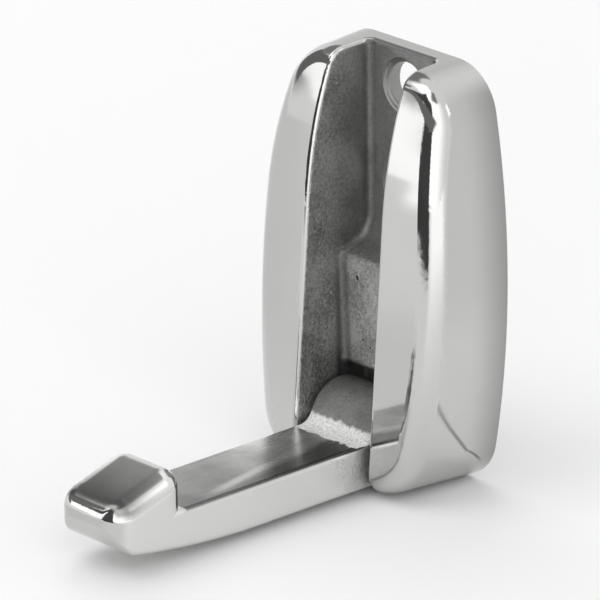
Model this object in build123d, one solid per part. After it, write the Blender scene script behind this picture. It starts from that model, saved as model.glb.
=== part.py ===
from build123d import *
import math
import os

# Folding clothes hook: a cast base with an open channel and an arm that folds up into it
# Millimetres; X to the right, the wall is the plane Y = 0, the front is -Y, Z up
# The origin is the middle of the back face

# Base outline, seen from the front
base_height = 59.0
base_width = 34.8
side_bow = 3.45
corner_radius = 7.2
front_corner_radius = 8.2
side_draft = 0.5
end_draft = 2.6

# Base front: a leaning lower part that curves back to the top, slightly domed from side to side
front_depth = 13.7
front_lean = 4.4
lean_top_height = 9.5
brow_radius = 62.0
brow_turn = 45.0
dome_radius = 250.0
edge_radius = 3.2

# Channel in the base
channel_width = 13.1
channel_draft = 2.6
back_wall = 2.5
shelf_height = 2.3
shelf_slope = 24.0
shelf_root_radius = 4.0
block_edge_radius = 0.8
block_draft = 2.2
block_bottom_height = -15.8
pocket_root_radius = 1.5
channel_root_radius = 1.1
channel_edge_radius = 0.65

# Screw holes in the back wall
screw_hole_diameter = 6.5
countersink_diameter = 8.0
countersink_angle = 90.0
upper_screw_below_top = 5.4
screw_spacing = 14.4

# Hinge
pin_diameter = 4.5
pin_running_clearance = 0.05
pin_blind_depth = 5.0
pivot_above_bottom = 6.8
knuckle_radius = 5.6
stop_gap = 0.08

# Folding arm
arm_side_clearance = 0.35
arm_top_above_pivot = 0.55
block_clearance = 0.65
fold_clearance = 0.15
tip_below_base_top = 0.9
nose_length = 12.5
nose_above_pivot = 6.3
nose_slope = 17.4
nose_brow_radius = 2.4
nose_front_height = 2.7
nose_bow = 0.3
nose_corner_radius = 3.3
nose_edge_radius = 3.0
chin_length = 2.1
chin_radius = 4.0
belly_straight = 25.0
belly_rise = 2.3
web_radius = 2.2
heel_radius = 1.6
arm_edge_radius = 0.6

# Limits used to pick faces and edges
facing_share = 0.5
square_share = 0.99
touching = 0.01

# Places worked out from the sizes above
top_height = base_height / 2
bottom_height = -base_height / 2
half_channel = channel_width / 2
half_arm = half_channel - arm_side_clearance
pivot_height = bottom_height + pivot_above_bottom
pivot_depth = back_wall + fold_clearance + nose_above_pivot
block_depth = pivot_depth - arm_top_above_pivot - block_clearance
stop_wall = pivot_depth - knuckle_radius - stop_gap
tip_reach = pivot_depth + top_height - tip_below_base_top - pivot_height
arm_top = pivot_height + arm_top_above_pivot
arm_bottom = pivot_height - knuckle_radius
arm_tip = -tip_reach
arm_step = arm_tip + nose_length
nose_top = pivot_height + nose_above_pivot
nose_slant = math.radians(nose_slope)
nose_run = nose_length - nose_brow_radius * (1 + math.sin(nose_slant))
lip_height = nose_top - nose_brow_radius * (1 - math.cos(nose_slant)) - nose_run * math.tan(nose_slant)
chin_height = lip_height - nose_front_height
slug_depth = base_height / 2
clear_of_base = base_height


def slope(angle):
    """Rise over run of an angle in degrees."""
    return math.tan(math.radians(angle))


def outline(depth):
    """The base outline at a depth in front of the wall, drawn in by the drafts."""
    side = base_width / 2 - depth * slope(side_draft)
    end = base_height / 2 - depth * slope(end_draft)
    corner = side - side_bow
    radius = corner_radius + (front_corner_radius - corner_radius) * depth / front_depth
    face = make_face(
        Line((-corner, end), (corner, end))
        + ThreePointArc((corner, end), (side, 0), (corner, -end))
        + Line((corner, -end), (-corner, -end))
        + ThreePointArc((-corner, -end), (-side, 0), (-corner, end))
    )
    return Plane.XZ.offset(depth) * fillet(face.vertices(), radius)


def base_blank():
    """The base before its channel is cut: drafted outline under a domed front."""
    slug = loft([outline(0), outline(slug_depth)], ruled=True)

    # The front is turned about an upright axis behind the wall, drawn here on its far side
    axis_y = dome_radius - front_depth
    lean = math.radians(front_lean)
    drop = lean_top_height + clear_of_base
    brow_start = (axis_y + dome_radius, lean_top_height)
    lean_foot = (brow_start[0] + drop * math.tan(lean), lean_top_height - drop)
    brow = JernArc(brow_start, (-math.sin(lean), math.cos(lean)), brow_radius, brow_turn)
    brow_end = brow @ 1
    front = make_face(
        Polyline((axis_y, lean_foot[1]), lean_foot, brow_start)
        + brow
        + Polyline(brow_end, (axis_y, brow_end.Y), (axis_y, lean_foot[1]))
    )
    dome = revolve(Plane.YZ * front, Axis((0, axis_y, 0), (0, 0, 1)))
    blank = slug & dome
    front_faces = blank.faces().filter_by(lambda face: face.normal_at().Y < -facing_share)
    rim = front_faces.edges()
    return fillet([edge for edge in rim if rim.count(edge) == 1], edge_radius)


def channel_half(depth):
    """Half the width of the channel at a depth in front of the wall."""
    return half_channel + (depth - back_wall) * slope(channel_draft)


def channel_cut():
    """The space of the channel: deep pocket, sloping shelf, block face and knuckle pocket."""
    shelf_root = (-back_wall, shelf_height)
    lip_height = shelf_height - (block_depth - back_wall) * slope(shelf_slope)
    shelf_lip = (-block_depth, lip_height)
    block_foot = block_depth - (lip_height - block_bottom_height) * slope(block_draft)
    block_lip = (-block_foot, block_bottom_height)
    pocket_root = (-stop_wall, block_bottom_height)
    section = make_face(
        Polyline(
            (-clear_of_base, clear_of_base),
            (-back_wall, clear_of_base),
            shelf_root,
            shelf_lip,
            block_lip,
            pocket_root,
            (-stop_wall, -clear_of_base),
            (-clear_of_base, -clear_of_base),
            close=True,
        )
    )
    for place, radius in (
        (shelf_root, shelf_root_radius),
        (shelf_lip, block_edge_radius),
        (block_lip, block_edge_radius),
        (pocket_root, pocket_root_radius),
    ):
        section = fillet(section.vertices().sort_by_distance(place)[0], radius)
    cut = extrude(Plane.YZ * section, base_width / 2, both=True)
    front_half = channel_half(clear_of_base)
    plan = make_face(
        Polyline(
            (channel_half(0), 0),
            (front_half, -clear_of_base),
            (-front_half, -clear_of_base),
            (-channel_half(0), 0),
            close=True,
        )
    )
    cut &= extrude(plan, 2 * clear_of_base, both=True)
    floor = cut.faces().filter_by(lambda face: abs(face.normal_at().X) < facing_share)
    floor = floor.filter_by(lambda face: face.center().Y > -block_depth - channel_root_radius)
    floor = floor.filter_by(lambda face: abs(face.normal_at().Z) < square_share or face.center().Z < 0)
    roots = [edge for edge in floor.edges() if abs(edge.center().X) > half_channel / 2]
    return fillet(roots, channel_root_radius)


def screw_hole(height):
    """A countersunk hole through the back wall at the given height."""
    hole_radius = screw_hole_diameter / 2
    rim_radius = countersink_diameter / 2
    sink = (rim_radius - hole_radius) / math.tan(math.radians(countersink_angle / 2))
    section = make_face(
        Polyline(
            (0, back_wall),
            (hole_radius, back_wall),
            (hole_radius, sink - back_wall),
            (rim_radius, -back_wall),
            (rim_radius, -clear_of_base),
            (0, -clear_of_base),
            close=True,
        )
    )
    return Pos(0, 0, height) * revolve(section, Axis.Y)


def pin_blank(radius):
    """A rod on the hinge axis, past the left flank and blind in the right cheek."""
    right_end = half_channel + pin_blind_depth
    rod = extrude(Plane.YZ * Circle(radius), right_end + base_width)
    return Pos(-base_width, -pivot_depth, pivot_height) * rod


def on_front_line(edge):
    """Whether an edge runs up the front of a channel wall."""
    middle = edge.center()
    off_wall = abs(middle.X) - channel_half(-middle.Y)
    return abs(off_wall) < touching and middle.Y < -block_depth and abs(edge.tangent_at().Z) > facing_share


def base_body(blank):
    """The cast base: blank less channel, screw holes and pin bore, with the channel edges rounded."""
    body = blank - channel_cut()
    front_lines = [edge for edge in body.edges() if on_front_line(edge)]
    body = fillet(front_lines, channel_edge_radius)
    upper_screw = top_height - upper_screw_below_top
    for height in (upper_screw, upper_screw - screw_spacing):
        body -= screw_hole(height)
    return body - pin_blank(pin_diameter / 2)


def arm_section():
    """Side outline of the arm: knuckle with its square heel, flat arm, raised nose and belly."""
    hinge = (-pivot_depth, pivot_height)
    belly_start = (-pivot_depth - belly_straight, arm_bottom)
    belly_length = belly_start[0] - arm_tip - chin_length
    belly_radius = (belly_length**2 + belly_rise**2) / (2 * belly_rise)
    belly_turn = 2 * math.degrees(math.atan(belly_rise / belly_length))
    belly = JernArc(belly_start, (-1, 0), belly_radius, -belly_turn)
    chin_foot = belly @ 1
    step_top = (arm_step, nose_top - nose_brow_radius)
    brow = JernArc(step_top, (0, 1), nose_brow_radius, 90 + nose_slope)
    lip = (arm_tip, lip_height)
    chin = (arm_tip, chin_height)
    blade = make_face(
        Polyline(step_top, (arm_step, arm_top), (hinge[0], arm_top), (hinge[0], arm_bottom), belly_start)
        + belly
        + Polyline(chin_foot, chin, lip, brow @ 1)
        + brow
    )
    knuckle = Pos(hinge) * Circle(knuckle_radius)
    heel = Pos(hinge) * Rectangle(knuckle_radius, knuckle_radius, align=(Align.MIN, Align.MAX))
    section = blade + knuckle + heel
    web_foot = (hinge[0] - math.sqrt(knuckle_radius**2 - arm_top_above_pivot**2), arm_top)
    heel_corner = (hinge[0] + knuckle_radius, arm_bottom)
    for place, radius in (
        (web_foot, web_radius),
        (heel_corner, heel_radius),
        (chin_foot, chin_radius),
    ):
        section = fillet(section.vertices().sort_by_distance(place)[0], radius)
    return section


def is_upright(face):
    """Whether a face of the arm is its front, a side or a rounded corner between them."""
    normal = face.normal_at()
    return abs(normal.X) > facing_share or normal.Y < -square_share


def on_nose(edge):
    """Whether an edge belongs to the raised nose, in front of the step and above the chin."""
    return edge.center().Y < arm_step + touching and edge.bounding_box().max.Z > chin_height + touching


def folding_arm():
    """The cast arm, with rounded nose corners and edges, bored for the pin."""
    arm = extrude(Plane.YZ * arm_section(), half_arm, both=True)
    shoulders = [(-half_arm, arm_tip + nose_bow), (half_arm, arm_tip + nose_bow)]
    front = ThreePointArc(shoulders[0], (0, arm_tip), shoulders[1])
    plan = make_face(front + Polyline(shoulders[1], (half_arm, 0), (-half_arm, 0), shoulders[0]))
    plan = fillet(plan.vertices().group_by(Axis.Y)[0], nose_corner_radius)
    arm &= Pos(0, 0, bottom_height) * extrude(plan, base_height)
    rim = arm.faces().filter_by(is_upright).edges()
    arm = fillet([edge for edge in rim if rim.count(edge) == 1 and on_nose(edge)], nose_edge_radius)
    sides = arm.faces().filter_by(Axis.X).edges()
    arm = fillet([edge for edge in sides if not on_nose(edge)], arm_edge_radius)
    return arm - pin_blank(pin_diameter / 2 + pin_running_clearance)


def main():
    blank = base_blank()
    pieces = {
        "base_body": base_body(blank),
        "folding_arm": folding_arm(),
        "hinge_pin": pin_blank(pin_diameter / 2) & blank,
    }
    os.makedirs("parts", exist_ok=True)
    for name, shape in pieces.items():
        export_step(shape, f"parts/{name}.step")


main()
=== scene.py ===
import math

import bpy
from mathutils import Matrix, Vector


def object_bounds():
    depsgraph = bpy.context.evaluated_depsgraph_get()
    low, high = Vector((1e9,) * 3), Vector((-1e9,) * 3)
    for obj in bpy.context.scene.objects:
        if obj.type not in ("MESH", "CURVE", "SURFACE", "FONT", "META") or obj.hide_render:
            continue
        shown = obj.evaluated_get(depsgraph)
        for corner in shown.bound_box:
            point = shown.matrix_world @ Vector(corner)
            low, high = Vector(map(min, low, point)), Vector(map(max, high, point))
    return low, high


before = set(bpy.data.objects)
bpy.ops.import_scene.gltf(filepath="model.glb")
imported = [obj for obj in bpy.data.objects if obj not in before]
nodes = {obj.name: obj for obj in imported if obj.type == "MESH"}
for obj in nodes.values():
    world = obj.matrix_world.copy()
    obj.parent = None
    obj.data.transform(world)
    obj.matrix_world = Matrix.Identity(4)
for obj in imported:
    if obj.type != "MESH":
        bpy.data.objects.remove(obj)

cad_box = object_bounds()
MM = 0.001
WHITE = (1.0, 1.0, 1.0, 1.0)

# Camera: the photograph's angle, a long lens far away; metres, with lens and sensor in millimetres
CAMERA_AZIMUTH = 47.203
CAMERA_ELEVATION = 20.669
CAMERA_ROLL = -0.456
CAMERA_DISTANCE = 1.0766
CAMERA_ASIDE = -0.015787
CAMERA_UP = -0.006528
CAMERA_NEAR = 0.01
CAMERA_LENS = 480.0
SENSOR_WIDTH = 36.0

# Studio: the floor is paper near the hook and fades to white between two distances, in metres
FLOOR_SIZE = 6.0
FLOOR_COLOUR = (0.92, 0.92, 0.92, 1.0)
FLOOR_FADE = (0.12, 0.40)
SEEN_STRENGTH = 1.0
FILL_STRENGTH = 0.62

# Lamps that light the floor: azimuth, elevation, distance, side and brightness
LAMPS = {
    "front_lamp": (-28.0, 62.0, 1.1, 0.7, 1.7),
    "right_lamp": (60.0, 35.0, 1.1, 0.9, 1.2),
    "left_lamp": (-120.0, 45.0, 1.1, 0.9, 1.2),
}

# Cards round the hook, seen only in the metal: distance, brightness, share of the width and
# height that fades at the edges, and the corners as azimuth and elevation
SKY_CARDS = {
    "side_grey": (2.2, 0.85, 0.25, 0.3, ((105, -30), (175, -30), (175, 60), (105, 60))),
    "back_grey": (2.2, 0.76, 0.25, 0.3, ((-175, -30), (-118, -30), (-118, 60), (-175, 60))),
    "right_box": (1.8, 1.75, 0.35, 0.1, ((-40, -6), (96, -6), (96, 64), (-40, 64))),
    "front_box": (1.7, 1.8, 0.15, 0.15, ((-60, 40), (16, 40), (16, 82), (-60, 82))),
    "left_box": (1.8, 1.4, 0.3, 0.3, ((-124, -8), (-92, -8), (-92, 4), (-124, 4))),
    "top_flag": (1.0, 0.3, 0.25, 0.2, ((8, 56), (66, 58), (66, 82), (8, 82))),
    "front_flag": (0.95, 0.07, 0.08, 0.08, ((-36, -12), (27, -12), (13, 54), (-16, 54))),
    "arch_flag": (0.9, 0.07, 0.12, 0.1, ((-52, 16), (-36, 9), (2, 46), (-12, 62))),
    "left_flag": (0.97, 0.18, 0.04, 0.14, ((-100, 2), (-48.6, 2), (-42, 40), (-96, 36))),
    "roof_flag": (0.96, 0.26, 0.2, 0.2, ((-132, 26), (-62, 30), (-50, 68), (-160, 68))),
    "edge_box": (0.65, 1.62, 0.1, 0.2, ((-44, -1), (-35, -1), (-36, 12.5), (-54, 17))),
    "spur_box": (0.66, 1.6, 0.15, 0.25, ((-38, -12), (-34, -12), (-34, 6), (-41, 6))),
    "patch_box": (0.65, 1.6, 0.3, 0.15, ((-40, 8), (-34, 6), (-12, 32), (-20, 37))),
    "rim_box": (0.65, 1.7, 0.25, 0.25, ((104, 26), (124, 26), (124, 52), (104, 52))),
}

# Cards flat on the floor, seen only in the metal: brightness, fading shares, and the corners
# as azimuth and distance; each lies one lift above the card before it
FLOOR_CARDS = {
    "front_mat": (0.06, 0.06, 0.03, ((-30, 0.16), (27, 0.16), (27, 1.4), (-35, 1.4))),
    "glow_mat": (1.6, 0.25, 0.1, ((22, 0.02), (100, 0.02), (100, 2.4), (22, 2.4))),
    "side_mat": (0.86, 0.2, 0.03, ((98, 0.03), (172, 0.03), (172, 2.6), (98, 2.6))),
    "left_mat": (0.84, 0.1, 0.03, ((-95, 0.03), (-44, 0.03), (-44, 2.6), (-95, 2.6))),
    "near_mat": (0.86, 0.3, 0.4, ((-60, 0.03), (10, 0.03), (0, 0.13), (-60, 0.13))),
    "edge_mat": (1.6, 0.2, 0.12, ((-35.8, 0.22), (-30, 0.22), (-33, 1.4), (-39.2, 1.4))),
}
FLOOR_CARD_LIFT = 0.05 * MM

# Painted shadow line: a dark line on the floor beside the base that shows only in the metal, in
# millimetres; its look is brightness and fading shares
LINE_ENDS = (14.0, 36.0)
LINE_DEPTH = 0.1
LINE_BEND = 0.015
LINE_WIDTH = 0.8
LINE_LIFT = 0.4
LINE_LOOK = (0.35, 0.3, 0.15)

# Dark card just above the nose: its sides in millimetres; its look is brightness and fading shares
NOSE_FLAG_X = (-38.0, 40.0)
NOSE_FLAG_Y = (-76.0, -30.0)
NOSE_FLAG_HEIGHT = 42.0
NOSE_FLAG_LOOK = (0.2, 0.15, 0.15)
CARD_CELLS = 12

# In the finishes below, tones are the two greys that a finish varies between, a scale is the noise's
# per millimetre, a height is a share of the piece's relief, and relief is in millimetres. Where one
# finish gives way to another, a pair of values says where its mask is 0 and where it is 1.
WARMTH = 0.985

# Noise: layers of detail, and how strongly each layer shows where nothing else is said
SMOOTH = 1.0
CLOUDY = 3.0
FINE = 4.0
NOISE_ROUGHNESS = 0.6

# Mirror polish
SMEAR_SCALE = 0.12
HAZE_SCALE = 0.2
WAVE_SCALE = 0.16
WAVE_HEIGHT = 0.025
POLISH_ROUGHNESS = (0.05, 0.09)

# Cast skin; its bright specks are painted glints
CLOUD_SCALE = 0.18
GRAIN_SCALE = 2.2
GRAIN_ROUGHNESS = 0.7
GRAIN_SHARE = 0.6
CAST_RANGE = (0.36, 0.64)
SPECK_SCALE = 3.4
SPECK_RANGE = (0.66, 0.76)
SPECK_GLINT = 0.7
CAST_ROUGHNESS = (0.38, 0.58)
FULL_GRAIN = 1.0
KNUCKLE_GRAIN = 0.5
FAINT_GRAIN = 0.35

# Base sizes, in millimetres
CHANNEL_HALF_WIDTH = 6.55
CHANNEL_FLARE = math.tan(math.radians(2.6))
BACK_WALL = 2.5
BLOCK_DEPTH = 7.75
SHELF_TOP = 2.3
SHELF_FOOT = 0.0
SCREW_HEIGHTS = (24.1, 9.7)
COUNTERSINK_RADIUS = 4.0
BASE_RELIEF = 0.16

# Base finishes
BASE_POLISH = (0.57, 0.61)
# Painted shade: a darker polish on the flanks near the back
FLANK_PAINTED_SHADE = (0.30, 0.33)
FRONT_SKIN = (0.26, 0.58)
# Painted shade: the cast skin deep in the channel is darker
DEEP_PAINTED_SHADE_SKIN = (0.28, 0.37)
# Painted light: the cast skin on the block's face is brighter
BLOCK_PAINTED_LIGHT_SKIN = (0.36, 0.74)
# Painted shade: darker cast skin in the root fillets
ROOT_PAINTED_SHADE_SKIN = (0.15, 0.23)

# Base masks along z, along y, by distance from the channel's wall or floor, and from the middle
BASE_ENDS = (29.3, 29.2)
BLOCK_START = (0.4, -0.3)
BASE_BACK = (-0.05, -0.1)
DEEP_START = (-11.0, -4.0)
WALL_SIDE = (-7.0, 2.0)
CHANNEL_EDGE = (-0.08, -0.02)
BLOCK_SIDE = (0.6, 1.6)
ROOT_REACH = (1.3, 0.3)
FLANK = (12.0, 15.0)

# Casting pits on the block: x, z and radius; rim and hollow start and end at shares of the radius
PITS = ((-3.7, -2.8, 0.5), (-3.0, -11.6, 0.3), (-1.6, -12.4, 0.25), (-2.2, -7.4, 0.2))
PIT_SQUEEZE = 0.7
RIM_SHARES = (1.0, 0.8)
# Painted highlight on each pit's rim and painted shade in its hollow
RIM_PAINTED_HIGHLIGHT = (0.6, 0.95)
RIM_ROUGHNESS = (0.5, 0.3)
RIM_HEIGHT = 0.5
HOLLOW_SHARES = (0.7, 0.5)
HOLLOW_PAINTED_SHADE = (0.3, 0.12)
HOLLOW_ROUGHNESS = (0.5, 0.6)

# Turned rings in the screw holes; the wave is in radians per millimetre
RING_WAVE = 16.0
RING_RANGE = (0.4, 0.6)
RING_TONES = (0.24, 0.40)
RING_ROUGHNESS = (0.42, 0.48)
RING_HEIGHT = 0.06
RING_EDGE = (COUNTERSINK_RADIUS + 0.1, COUNTERSINK_RADIUS)

# Arm sizes, in millimetres
PIVOT_DEPTH = 8.95
PIVOT_HEIGHT = -22.7
KNUCKLE_RADIUS = 5.6
ARM_HALF_WIDTH = 6.2
ARM_TOP = -22.15
ARM_STEP = -47.75
NOSE_TIP = -59.0
ARM_RELIEF = 0.14

# Arm finishes
ARM_POLISH = (0.68, 0.72)
# Painted shade: the chin gets a darker polish than the rest of the arm
CHIN_PAINTED_SHADE_POLISH = (0.54, 0.58)
HINGE_SKIN = (0.60, 0.80)
KNUCKLE_SKIN = (0.26, 0.38)
PATCH_SCALE = 0.13

# Arm masks along y, by distance from the pin's axis, from the top's level and from the middle
HINGE_END = (-25.0, -14.0)
TOP_END = (ARM_STEP - 0.1, ARM_STEP + 0.1)
KNUCKLE_EDGE = (KNUCKLE_RADIUS + 0.2, KNUCKLE_RADIUS + 0.05)
TOP_LEVEL = (0.4, 0.1)
TOP_SIDE = (ARM_HALF_WIDTH - 0.02, ARM_HALF_WIDTH - 0.2)

# Satin top of the arm: brushed, with painted light towards the hinge, a painted reflection streak,
# painted shade on the side beyond it and a dark edge line
BRUSH_STRETCH = (1.6, 0.12, 1.0)
BRUSH_SCALE = 1.3
BRUSH_PATCHES = 0.8
BRUSH_SLOPE = -0.03
BRUSH_RANGE = (0.15, 0.95)
BRUSH_TONES = (0.22, 0.56)
# Painted light: the top is lighter towards the hinge
LIT_RANGE = (0.3, 0.7)
LIT_TONES = (0.55, 0.95)
LIT_END = (-36.0, -24.0)
# The streak is a painted reflection and the side beyond it painted shade
STREAK_LINE = 5.4
STREAK_SLANT = 0.19
STREAK_SIDE = (1.2, 0.1)
STREAK_END = (-45.0, -36.0)
STREAK_STRENGTH = 0.65
STREAK_PAINTED_REFLECTION = 0.9
SHADED_SIDE = (STREAK_LINE + 0.8, STREAK_LINE + 2.0)
SHADED_TONE = 0.26
EDGE_LINE = 5.5
EDGE_LINE_SIDE = (0.25, 0.1)
EDGE_LINE_TONE = 0.07
SATIN_ROUGHNESS = (0.20, 0.32)
SATIN_HEIGHT = 0.12

# Nose: its slope and its chin are told apart by how far the surface faces up and forward; the slope
# carries a painted reflection and the chin painted shade
SLOPE_START = (ARM_STEP, ARM_STEP - 1.0)
SLOPE_UPWARD = (0.2, 0.5)
SLOPE_FORWARD = (0.80, 0.62)
SLOPE_PATCHES = 3.0
# Painted reflection: the slope's tone runs from dark at the tip to light at the brow
SLOPE_PAINTED_TONES = (0.24, 0.86)
SLOPE_ROUGHNESS = (0.16, 0.24)
SLOPE_HEIGHT = 0.05
CHIN_START = (ARM_STEP - 3.0, ARM_STEP - 6.0)
CHIN_FORWARD = (0.3, 0.7)
CHIN_UPWARD = (0.35, 0.1)

# Web: the fillet between knuckle and arm, with torn edges
WEB_REACH = -15.9
WEB_TOP = -20.55
WEB_FRONT = (WEB_REACH, WEB_REACH + 0.6)
WEB_CREST = (WEB_TOP + 0.6, WEB_TOP)
WEB_FOOT = (ARM_TOP - 0.1, ARM_TOP)
TEAR_SCALE = 0.9
TEAR_FRONT = 3.0
TEAR_CREST = 1.2
WEB_GRAIN_SCALE = 2.8
WEB_GRAIN_ROUGHNESS = 0.75
WEB_RANGE = (0.35, 0.65)
WEB_TONES = (0.68, 1.0)
WEB_ROUGHNESS = (0.6, 0.8)
WEB_HEIGHT = 1.6
WEB_METALLIC = (1.0, 0.35)

# Pin finish
PIN_POLISH = (0.42, 0.48)
PIN_ROUGHER = 0.2
PIN_RING_WAVE = 14.0
PIN_RING_HEIGHT = 0.08
PIN_RELIEF = 0.1


def direction(azimuth, elevation):
    """Unit vector from the hook towards a place in the studio."""
    a = math.radians(azimuth)
    e = math.radians(elevation)
    return Vector((math.sin(a) * math.cos(e), -math.cos(a) * math.cos(e), math.sin(e)))


def part_way(ends, share):
    """Value at a share of the way between two ends."""
    return ends[0] + (ends[1] - ends[0]) * share


def add_object(name, data):
    """A new object in the scene."""
    thing = bpy.data.objects.new(name, data)
    bpy.context.scene.collection.objects.link(thing)
    return thing


def add_camera():
    """The photograph's camera."""
    back = direction(CAMERA_AZIMUTH, CAMERA_ELEVATION)
    azimuth = math.radians(CAMERA_AZIMUTH)
    level = Vector((math.cos(azimuth), math.sin(azimuth), 0.0))
    upright = back.cross(level)
    roll = math.radians(CAMERA_ROLL)
    right = level * math.cos(roll) + upright * math.sin(roll)
    up = upright * math.cos(roll) - level * math.sin(roll)
    place = back * CAMERA_DISTANCE + right * CAMERA_ASIDE + up * CAMERA_UP
    data = bpy.data.cameras.new("camera")
    data.lens = CAMERA_LENS
    data.sensor_width = SENSOR_WIDTH
    data.clip_start = CAMERA_NEAR
    camera = add_object("camera", data)
    turn = Matrix((right, up, back)).transposed().to_4x4()
    camera.matrix_world = Matrix.Translation(place) @ turn
    bpy.context.scene.camera = camera


class Tree:
    """Short calls for the nodes of one material or world."""

    def __init__(self, tree):
        self.tree = tree
        self.tree.nodes.clear()

    def add(self, kind, **settings):
        node = self.tree.nodes.new(kind)
        for name, value in settings.items():
            setattr(node, name, value)
        return node

    def link(self, source, target):
        self.tree.links.new(source, target)

    def feed(self, socket, value):
        """Link an output to a socket, or set a plain value on it."""
        if isinstance(value, bpy.types.NodeSocket):
            self.link(value, socket)
        else:
            socket.default_value = value

    def coordinates(self, kind):
        return self.add("ShaderNodeTexCoord").outputs[kind]

    def split(self, vector):
        """The x, y and z parts of a vector."""
        node = self.add("ShaderNodeSeparateXYZ")
        self.link(vector, node.inputs[0])
        return node.outputs[0], node.outputs[1], node.outputs[2]

    def stretch(self, where, x, y, z):
        node = self.add("ShaderNodeVectorMath", operation="MULTIPLY")
        self.feed(node.inputs[0], where)
        node.inputs[1].default_value = (x, y, z)
        return node.outputs[0]

    def math(self, operation, *values):
        node = self.add("ShaderNodeMath", operation=operation)
        for socket, value in zip(node.inputs, values):
            self.feed(socket, value)
        return node.outputs[0]

    def all_of(self, mask, *others):
        """Product of masks: 1 where each of them is 1."""
        for other in others:
            mask = self.math("MULTIPLY", mask, other)
        return mask

    def distance(self, first, second):
        """Length of the plane vector with two parts."""
        squares = [self.math("MULTIPLY", part, part) for part in (first, second)]
        return self.math("SQRT", self.math("ADD", *squares))

    def step(self, value, low, high):
        """Smooth rise from 0 at low to 1 at high."""
        node = self.add("ShaderNodeMapRange", interpolation_type="SMOOTHSTEP")
        self.feed(node.inputs["Value"], value)
        node.inputs["From Min"].default_value = low
        node.inputs["From Max"].default_value = high
        return node.outputs["Result"]

    def between(self, value, low, high):
        """Share of the way from low to high, for a value from 0 to 1."""
        node = self.add("ShaderNodeMapRange")
        self.feed(node.inputs["Value"], value)
        node.inputs["To Min"].default_value = low
        node.inputs["To Max"].default_value = high
        return node.outputs["Result"]

    def noise(self, where, scale, detail, roughness=NOISE_ROUGHNESS):
        node = self.add("ShaderNodeTexNoise")
        self.feed(node.inputs["Vector"], where)
        node.inputs["Scale"].default_value = scale
        node.inputs["Detail"].default_value = detail
        node.inputs["Roughness"].default_value = roughness
        return node.outputs["Fac"]

    def mix(self, share, first, second, kind="RGBA"):
        """A colour between two others."""
        node = self.add("ShaderNodeMix", data_type=kind)
        self.feed(node.inputs["Factor"], share)
        self.feed(node.inputs["A"], first)
        self.feed(node.inputs["B"], second)
        return node.outputs["Result"]

    def blend(self, share, first, second):
        """A number between two others."""
        return self.mix(share, first, second, "FLOAT")

    def show_mixed(self, share, first, second):
        """Send a mix of two shaders to the surface."""
        mixed = self.add("ShaderNodeMixShader")
        self.link(share, mixed.inputs[0])
        self.link(first.outputs[0], mixed.inputs[1])
        self.link(second.outputs[0], mixed.inputs[2])
        self.link(mixed.outputs[0], self.add("ShaderNodeOutputMaterial").inputs["Surface"])


def new_material(name):
    """An empty material and its tree."""
    material = bpy.data.materials.new(name)
    material.use_nodes = True
    return material, Tree(material.node_tree)


def seen_directly(t):
    """1 for what the camera sees, straight or in metal or glass, and 0 for light that spreads."""
    path = t.add("ShaderNodeLightPath")
    seen = t.math("MAXIMUM", path.outputs["Is Camera Ray"], path.outputs["Is Glossy Ray"])
    return t.math("MAXIMUM", seen, path.outputs["Is Transmission Ray"])


def add_world():
    """White surroundings at full strength for what is seen, a little less as fill light."""
    world = bpy.data.worlds.new("studio")
    bpy.context.scene.world = world
    world.use_nodes = True
    t = Tree(world.node_tree)
    background = t.add("ShaderNodeBackground")
    background.inputs["Color"].default_value = WHITE
    t.link(t.between(seen_directly(t), FILL_STRENGTH, SEEN_STRENGTH), background.inputs["Strength"])
    t.link(background.outputs[0], t.add("ShaderNodeOutputWorld").inputs["Surface"])


def add_lamp(name, azimuth, elevation, reach, side, radiance):
    """A square soft lamp aimed at the hook, not seen in the metal."""
    towards = direction(azimuth, elevation)
    data = bpy.data.lights.new(name, "AREA")
    data.size = side
    data.energy = radiance * math.pi * side * side
    lamp = add_object(name, data)
    turn = towards.to_track_quat("Z", "Y").to_matrix().to_4x4()
    lamp.matrix_world = Matrix.Translation(towards * reach) @ turn
    lamp.visible_camera = False
    lamp.visible_glossy = False


def fading(t, place, share):
    """1 in the middle and 0 at both ends, for a place from 0 to 1."""
    return t.all_of(t.step(place, 0.0, share), t.step(place, 1.0, 1.0 - share))


def between_corners(corners, across, along):
    """Place inside four corners, given in turn round the card."""
    near = [part_way(ends, across) for ends in zip(corners[0], corners[1])]
    far = [part_way(ends, across) for ends in zip(corners[3], corners[2])]
    return [part_way(ends, along) for ends in zip(near, far)]


def add_card(name, spot, brightness, fade_across, fade_along):
    """A glowing or dark curved card with soft edges that shows only as a reflection."""
    row = CARD_CELLS + 1
    shares = [(i / CARD_CELLS, j / CARD_CELLS) for j in range(row) for i in range(row)]
    firsts = [j * row + i for j in range(CARD_CELLS) for i in range(CARD_CELLS)]
    points = [spot(*share) for share in shares]
    cells = [(k, k + 1, k + row + 1, k + row) for k in firsts]
    mesh = bpy.data.meshes.new(name)
    mesh.from_pydata(points, [], cells)
    layer = mesh.uv_layers.new(name="across")
    for loop in mesh.loops:
        layer.data[loop.index].uv = shares[loop.vertex_index]
    card = add_object(name, mesh)
    card.visible_camera = False
    card.visible_diffuse = False
    card.visible_shadow = False
    material, t = new_material(name)
    across, along, _ = t.split(t.coordinates("UV"))
    glow = t.add("ShaderNodeEmission")
    glow.inputs["Strength"].default_value = brightness
    solid = t.all_of(fading(t, across, fade_across), fading(t, along, fade_along))
    t.show_mixed(solid, t.add("ShaderNodeBsdfTransparent"), glow)
    card.data.materials.append(material)


def add_sky_card(name, reach, brightness, fade_across, fade_along, corners):
    """A card standing round the hook."""
    def spot(across, along):
        return direction(*between_corners(corners, across, along)) * reach

    add_card(name, spot, brightness, fade_across, fade_along)


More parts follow.
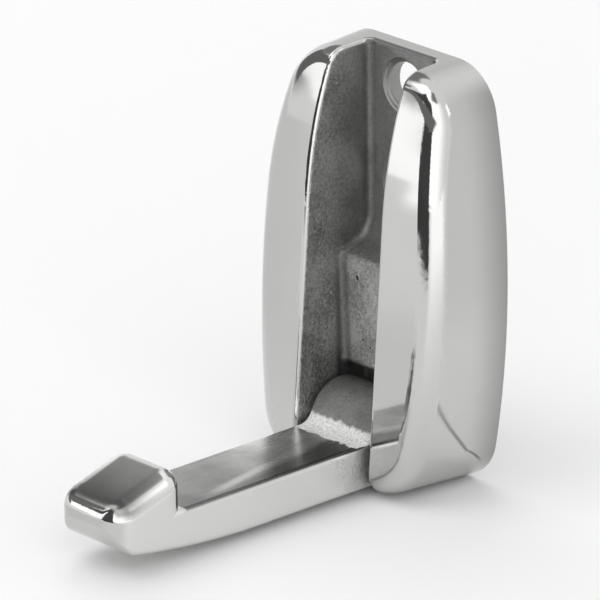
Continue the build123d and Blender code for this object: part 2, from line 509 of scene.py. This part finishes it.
def add_floor_card(name, lift, brightness, fade_across, fade_along, corners):
    """A card lying on the floor."""
    height = Vector((0.0, 0.0, cad_box[0].z + lift))

    def spot(across, along):
        azimuth, reach = between_corners(corners, across, along)
        return direction(azimuth, 0.0) * reach + height

    add_card(name, spot, brightness, fade_across, fade_along)


def add_painted_shadow_line():
    """A thin dark line on the floor beside the base: a painted shadow line that shows only in the
    metal.
    """
    def spot(across, along):
        x = part_way(LINE_ENDS, along)
        y = LINE_DEPTH + LINE_BEND * (x - LINE_ENDS[0]) ** 2 + LINE_WIDTH * across
        return Vector((x * MM, y * MM, cad_box[0].z + LINE_LIFT * MM))

    add_card("painted_shadow_line", spot, *LINE_LOOK)


def add_nose_flag():
    """A small dark card over the nose."""
    def spot(across, along):
        x = part_way(NOSE_FLAG_X, across)
        y = part_way(NOSE_FLAG_Y, along)
        return Vector((x, y, NOSE_FLAG_HEIGHT)) * MM

    add_card("nose_flag", spot, *NOSE_FLAG_LOOK)


def add_floor():
    """The pale floor that the base stands on, fading to white far away."""
    height = cad_box[0].z
    half = FLOOR_SIZE / 2
    corners = ((-half, -half), (half, -half), (half, half), (-half, half))
    mesh = bpy.data.meshes.new("floor")
    mesh.from_pydata([(x, y, height) for x, y in corners], [], [(0, 1, 2, 3)])
    floor = add_object("floor", mesh)
    material, t = new_material("floor")
    paper = t.add("ShaderNodeBsdfDiffuse")
    paper.inputs["Color"].default_value = FLOOR_COLOUR
    white = t.add("ShaderNodeEmission")
    white.inputs["Color"].default_value = WHITE
    length = t.add("ShaderNodeVectorMath", operation="LENGTH")
    t.link(t.coordinates("Object"), length.inputs[0])
    far = t.step(length.outputs["Value"], *FLOOR_FADE)
    t.show_mixed(t.all_of(far, seen_directly(t)), paper, white)
    floor.data.materials.append(material)


def millimetres(t):
    """Place on the part in millimetres, as x, y, z and as a vector."""
    place = t.stretch(t.coordinates("Object"), 1 / MM, 1 / MM, 1 / MM)
    x, y, z = t.split(place)
    return x, y, z, place


def from_pin(t, y, z):
    """Distance from the axis of the pin, in millimetres."""
    return t.distance(t.math("ADD", y, PIVOT_DEPTH), t.math("SUBTRACT", z, PIVOT_HEIGHT))


def steel(name):
    """An empty metal material, its tree and its shader."""
    material, t = new_material(name)
    shader = t.add("ShaderNodeBsdfPrincipled")
    shader.inputs["Metallic"].default_value = 1.0
    t.link(shader.outputs[0], t.add("ShaderNodeOutputMaterial").inputs["Surface"])
    return material, t, shader


def grey(level):
    """The slightly warm grey of stainless steel."""
    return (level, level, WARMTH * level, 1.0)


def shade(t, share, tones):
    """A grey between two tones."""
    return t.mix(share, grey(tones[0]), grey(tones[1]))


# A finish is a colour, a roughness and a height.

def polished(t, place, tones):
    """Finish of mirror-polished steel, with faint smears and waves."""
    colour = shade(t, t.noise(place, SMEAR_SCALE, CLOUDY), tones)
    roughness = t.between(t.noise(place, HAZE_SCALE, SMOOTH), *POLISH_ROUGHNESS)
    return colour, roughness, t.math("MULTIPLY", t.noise(place, WAVE_SCALE, SMOOTH), WAVE_HEIGHT)


def cast(t, place, tones, coarse=FULL_GRAIN):
    """Finish of the blasted cast skin with painted glints on its specks; coarse is the strength of its
    grain.
    """
    cloud = t.noise(place, CLOUD_SCALE, CLOUDY)
    grain = t.noise(place, GRAIN_SCALE, CLOUDY, GRAIN_ROUGHNESS)
    tone = t.step(t.blend(GRAIN_SHARE, cloud, grain), *CAST_RANGE)
    specks = t.step(t.noise(place, SPECK_SCALE, SMOOTH), *SPECK_RANGE)
    # Painted glints: sparse specks lifted towards white
    glint = grey(min(1.0, (1.0 + SPECK_GLINT * coarse) * tones[1]))
    colour = t.mix(specks, shade(t, tone, tones), glint)
    return colour, t.between(grain, *CAST_ROUGHNESS), t.math("MULTIPLY", grain, coarse)


def over(t, mask, below, above):
    """One finish laid over another where the mask is 1."""
    return (
        t.mix(mask, below[0], above[0]),
        t.blend(mask, below[1], above[1]),
        t.blend(mask, below[2], above[2]),
    )


def wear(t, shader, finish, depth):
    """Give a finish to the shader; depth is the size of its relief."""
    colour, roughness, height = finish
    t.link(colour, shader.inputs["Base Color"])
    t.link(roughness, shader.inputs["Roughness"])
    relief = t.add("ShaderNodeBump")
    relief.inputs["Distance"].default_value = depth
    t.link(height, relief.inputs["Height"])
    t.link(relief.outputs[0], shader.inputs["Normal"])


def with_pit(t, skin, where, aside, above, radius):
    """Lay one casting pit on a finish: a bright rim with a painted highlight round a dark hollow with
    painted shade.
    """
    off_pit = t.distance(aside, t.math("MULTIPLY", above, PIT_SQUEEZE))
    rim = t.all_of(where, t.step(off_pit, *[share * radius for share in RIM_SHARES]))
    hollow = t.all_of(where, t.step(off_pit, *[share * radius for share in HOLLOW_SHARES]))
    lip = (shade(t, rim, RIM_PAINTED_HIGHLIGHT), t.between(rim, *RIM_ROUGHNESS), t.math("ADD", rim, RIM_HEIGHT))
    bottom = (shade(t, hollow, HOLLOW_PAINTED_SHADE), t.between(hollow, *HOLLOW_ROUGHNESS), hollow)
    return over(t, hollow, over(t, rim, skin, lip), bottom)


def with_rings(t, finish, where, aside, above):
    """Lay the turned rings of one screw hole on a finish."""
    radius = t.distance(aside, above)
    rings = t.math("SINE", t.math("MULTIPLY", radius, RING_WAVE))
    colour = shade(t, t.between(rings, *RING_RANGE), RING_TONES)
    turned = (colour, t.between(rings, *RING_ROUGHNESS), t.math("MULTIPLY", rings, RING_HEIGHT))
    return over(t, t.all_of(where, t.step(radius, *RING_EDGE)), finish, turned)


def channel_skin(t, x, y, z, place, off_wall):
    """Cast finish of the channel: finer and darker with painted shade deep inside, brighter with
    painted light on the block, darker with painted shade in the root fillets.
    """
    front = cast(t, place, FRONT_SKIN)
    # Painted shade: darker, finer cast skin deep in the channel
    skin = over(t, t.step(y, *DEEP_START), front, cast(t, place, DEEP_PAINTED_SHADE_SKIN, FAINT_GRAIN))
    block = t.all_of(t.step(z, *BLOCK_START), t.step(off_wall, *BLOCK_SIDE))
    # Painted light: brighter cast skin on the block's face
    skin = over(t, block, skin, cast(t, place, BLOCK_PAINTED_LIGHT_SKIN))
    for pit_x, pit_z, radius in PITS:
        aside = t.math("SUBTRACT", x, pit_x)
        above = t.math("SUBTRACT", z, pit_z)
        skin = with_pit(t, skin, block, aside, above, radius)
    # Painted shade in the root fillets, where the walls meet the floor
    floor_depth = t.between(t.step(z, SHELF_TOP, SHELF_FOOT), BACK_WALL, BLOCK_DEPTH)
    off_floor = t.math("SUBTRACT", t.math("MULTIPLY", y, -1.0), floor_depth)
    root = t.all_of(t.step(off_wall, *ROOT_REACH), t.step(off_floor, *ROOT_REACH))
    return over(t, root, skin, cast(t, place, ROOT_PAINTED_SHADE_SKIN, FAINT_GRAIN))


def base_finish():
    """Polished outside with painted shade on the flanks near the back, cast inside the channel, turned
    rings in the screw holes.
    """
    material, t, shader = steel("base_finish")
    x, y, z, place = millimetres(t)
    off_middle = t.math("ABSOLUTE", x)
    depth = t.math("MULTIPLY_ADD", y, -1.0, -BACK_WALL)
    wall = t.math("MULTIPLY_ADD", depth, CHANNEL_FLARE, CHANNEL_HALF_WIDTH)
    off_wall = t.math("SUBTRACT", wall, off_middle)
    off_ends = t.step(t.math("ABSOLUTE", z), *BASE_ENDS)
    channel = t.all_of(t.step(off_wall, *CHANNEL_EDGE), off_ends, t.step(y, *BASE_BACK))
    # Painted shade: the flanks near the back get a darker polish
    painted_flank_shade = t.all_of(t.step(y, *WALL_SIDE), t.step(off_middle, *FLANK))
    mirror = over(t, painted_flank_shade, polished(t, place, BASE_POLISH), polished(t, place, FLANK_PAINTED_SHADE))
    finish = over(t, channel, mirror, channel_skin(t, x, y, z, place, off_wall))
    for height in SCREW_HEIGHTS:
        finish = with_rings(t, finish, channel, x, t.math("SUBTRACT", z, height))
    wear(t, shader, finish, BASE_RELIEF * MM)
    return material


def satin_top(t, x, y, place, patches):
    """Finish of the arm's top: brushed, with painted light towards the hinge, a painted reflection
    streak, painted shade on one side and a dark edge line.
    """
    streaks = t.noise(t.stretch(place, *BRUSH_STRETCH), BRUSH_SCALE, FINE)
    tone = t.math("MULTIPLY_ADD", x, BRUSH_SLOPE, t.blend(BRUSH_PATCHES, streaks, patches))
    brushed = shade(t, t.step(tone, *BRUSH_RANGE), BRUSH_TONES)
    lit = shade(t, t.step(patches, *LIT_RANGE), LIT_TONES)
    # Painted light towards the hinge
    brushed = t.mix(t.step(y, *LIT_END), brushed, lit)
    slanted = t.math("MULTIPLY_ADD", t.math("SUBTRACT", y, ARM_STEP), STREAK_SLANT, x)
    # Painted shade on the side beyond the streak
    brushed = t.mix(t.step(slanted, *SHADED_SIDE), brushed, grey(SHADED_TONE))
    off_streak = t.math("ABSOLUTE", t.math("SUBTRACT", slanted, STREAK_LINE))
    # Painted reflection: a bright slanting streak
    streak = t.all_of(t.step(off_streak, *STREAK_SIDE), t.step(y, *STREAK_END), STREAK_STRENGTH)
    brushed = t.mix(streak, brushed, grey(STREAK_PAINTED_REFLECTION))
    off_line = t.math("ABSOLUTE", t.math("SUBTRACT", x, EDGE_LINE))
    brushed = t.mix(t.step(off_line, *EDGE_LINE_SIDE), brushed, grey(EDGE_LINE_TONE))
    return brushed, t.between(streaks, *SATIN_ROUGHNESS), t.math("MULTIPLY", streaks, SATIN_HEIGHT)


def painted_slope_reflection(t, y, patches):
    """Finish of the nose's slope: soft polish with a painted reflection, darker towards the tip."""
    along_nose = t.math("MULTIPLY_ADD", patches, SLOPE_PATCHES, y)
    slope_tone = shade(t, t.step(along_nose, NOSE_TIP, ARM_STEP), SLOPE_PAINTED_TONES)
    return slope_tone, t.between(patches, *SLOPE_ROUGHNESS), t.math("MULTIPLY", patches, SLOPE_HEIGHT)


def rough_web(t, place):
    """Finish of the web: rough and bright."""
    grain = t.noise(place, WEB_GRAIN_SCALE, FINE, WEB_GRAIN_ROUGHNESS)
    bright = shade(t, t.step(grain, *WEB_RANGE), WEB_TONES)
    return bright, t.between(grain, *WEB_ROUGHNESS), t.math("MULTIPLY", grain, WEB_HEIGHT)


def web_mask(t, y, z, place):
    """1 on the web between knuckle and arm, with torn edges."""
    torn = t.noise(place, TEAR_SCALE, CLOUDY)
    in_front = t.step(t.math("MULTIPLY_ADD", torn, TEAR_FRONT, y), *WEB_FRONT)
    below = t.step(t.math("MULTIPLY_ADD", torn, TEAR_CREST, z), *WEB_CREST)
    return t.all_of(in_front, below, t.step(z, *WEB_FOOT))


def nose_masks(t, y):
    """Masks of the nose's slope and of its chin."""
    _, facing, upward = t.split(t.coordinates("Normal"))
    forward = t.math("MULTIPLY", facing, -1.0)
    sloping = t.all_of(t.step(upward, *SLOPE_UPWARD), t.step(forward, *SLOPE_FORWARD))
    slope = t.all_of(t.step(y, *SLOPE_START), sloping)
    upright = t.all_of(t.step(forward, *CHIN_FORWARD), t.step(upward, *CHIN_UPWARD))
    chin = t.all_of(t.step(y, *CHIN_START), upright)
    return slope, chin


def arm_finish():
    """Polished sides and nose with painted shade on the chin and a painted reflection on the slope,
    satin top with painted light and shade, cast knuckle and a rough bright web between them.
    """
    material, t, shader = steel("arm_finish")
    x, y, z, place = millimetres(t)
    level = t.math("ABSOLUTE", t.math("SUBTRACT", z, ARM_TOP))
    inset = t.step(t.math("ABSOLUTE", x), *TOP_SIDE)
    top = t.all_of(t.step(level, *TOP_LEVEL), t.step(y, *TOP_END), inset)
    by_hinge = t.step(y, *HINGE_END)
    knuckle = t.step(from_pin(t, y, z), *KNUCKLE_EDGE)
    web = web_mask(t, y, z, place)
    slope, chin = nose_masks(t, y)
    patches = t.noise(place, PATCH_SCALE, CLOUDY)

    finish = over(t, by_hinge, polished(t, place, ARM_POLISH), cast(t, place, HINGE_SKIN))
    # Painted shade: darker polish on the chin
    finish = over(t, chin, finish, polished(t, place, CHIN_PAINTED_SHADE_POLISH))
    # Painted reflection on the nose's slope
    finish = over(t, slope, finish, painted_slope_reflection(t, y, patches))
    finish = over(t, top, finish, satin_top(t, x, y, place, patches))
    finish = over(t, knuckle, finish, cast(t, place, KNUCKLE_SKIN, KNUCKLE_GRAIN))
    finish = over(t, web, finish, rough_web(t, place))
    t.link(t.between(web, *WEB_METALLIC), shader.inputs["Metallic"])
    wear(t, shader, finish, ARM_RELIEF * MM)
    return material


def pin_finish():
    """Bright turned steel."""
    material, t, shader = steel("pin_finish")
    _, y, z, place = millimetres(t)
    rings = t.math("SINE", t.math("MULTIPLY", from_pin(t, y, z), PIN_RING_WAVE))
    colour, roughness, _ = polished(t, place, PIN_POLISH)
    turned = (colour, t.math("ADD", roughness, PIN_ROUGHER), t.math("MULTIPLY", rings, PIN_RING_HEIGHT))
    wear(t, shader, turned, PIN_RELIEF * MM)
    return material


def dress(node, material):
    """Put a material in every slot of a CAD node."""
    slots = nodes[node].data.materials
    slots.clear()
    slots.append(material)


add_camera()
add_world()
add_floor()
for name, setting in LAMPS.items():
    add_lamp(name, *setting)
for name, setting in SKY_CARDS.items():
    add_sky_card(name, *setting)
for layer, (name, setting) in enumerate(FLOOR_CARDS.items(), 1):
    add_floor_card(name, layer * FLOOR_CARD_LIFT, *setting)
# Painted shadow line on the floor, seen only in the metal
add_painted_shadow_line()
add_nose_flag()
dress("base_body", base_finish())
dress("folding_arm", arm_finish())
dress("hinge_pin", pin_finish())
bpy.context.scene.view_settings.view_transform = "Standard"
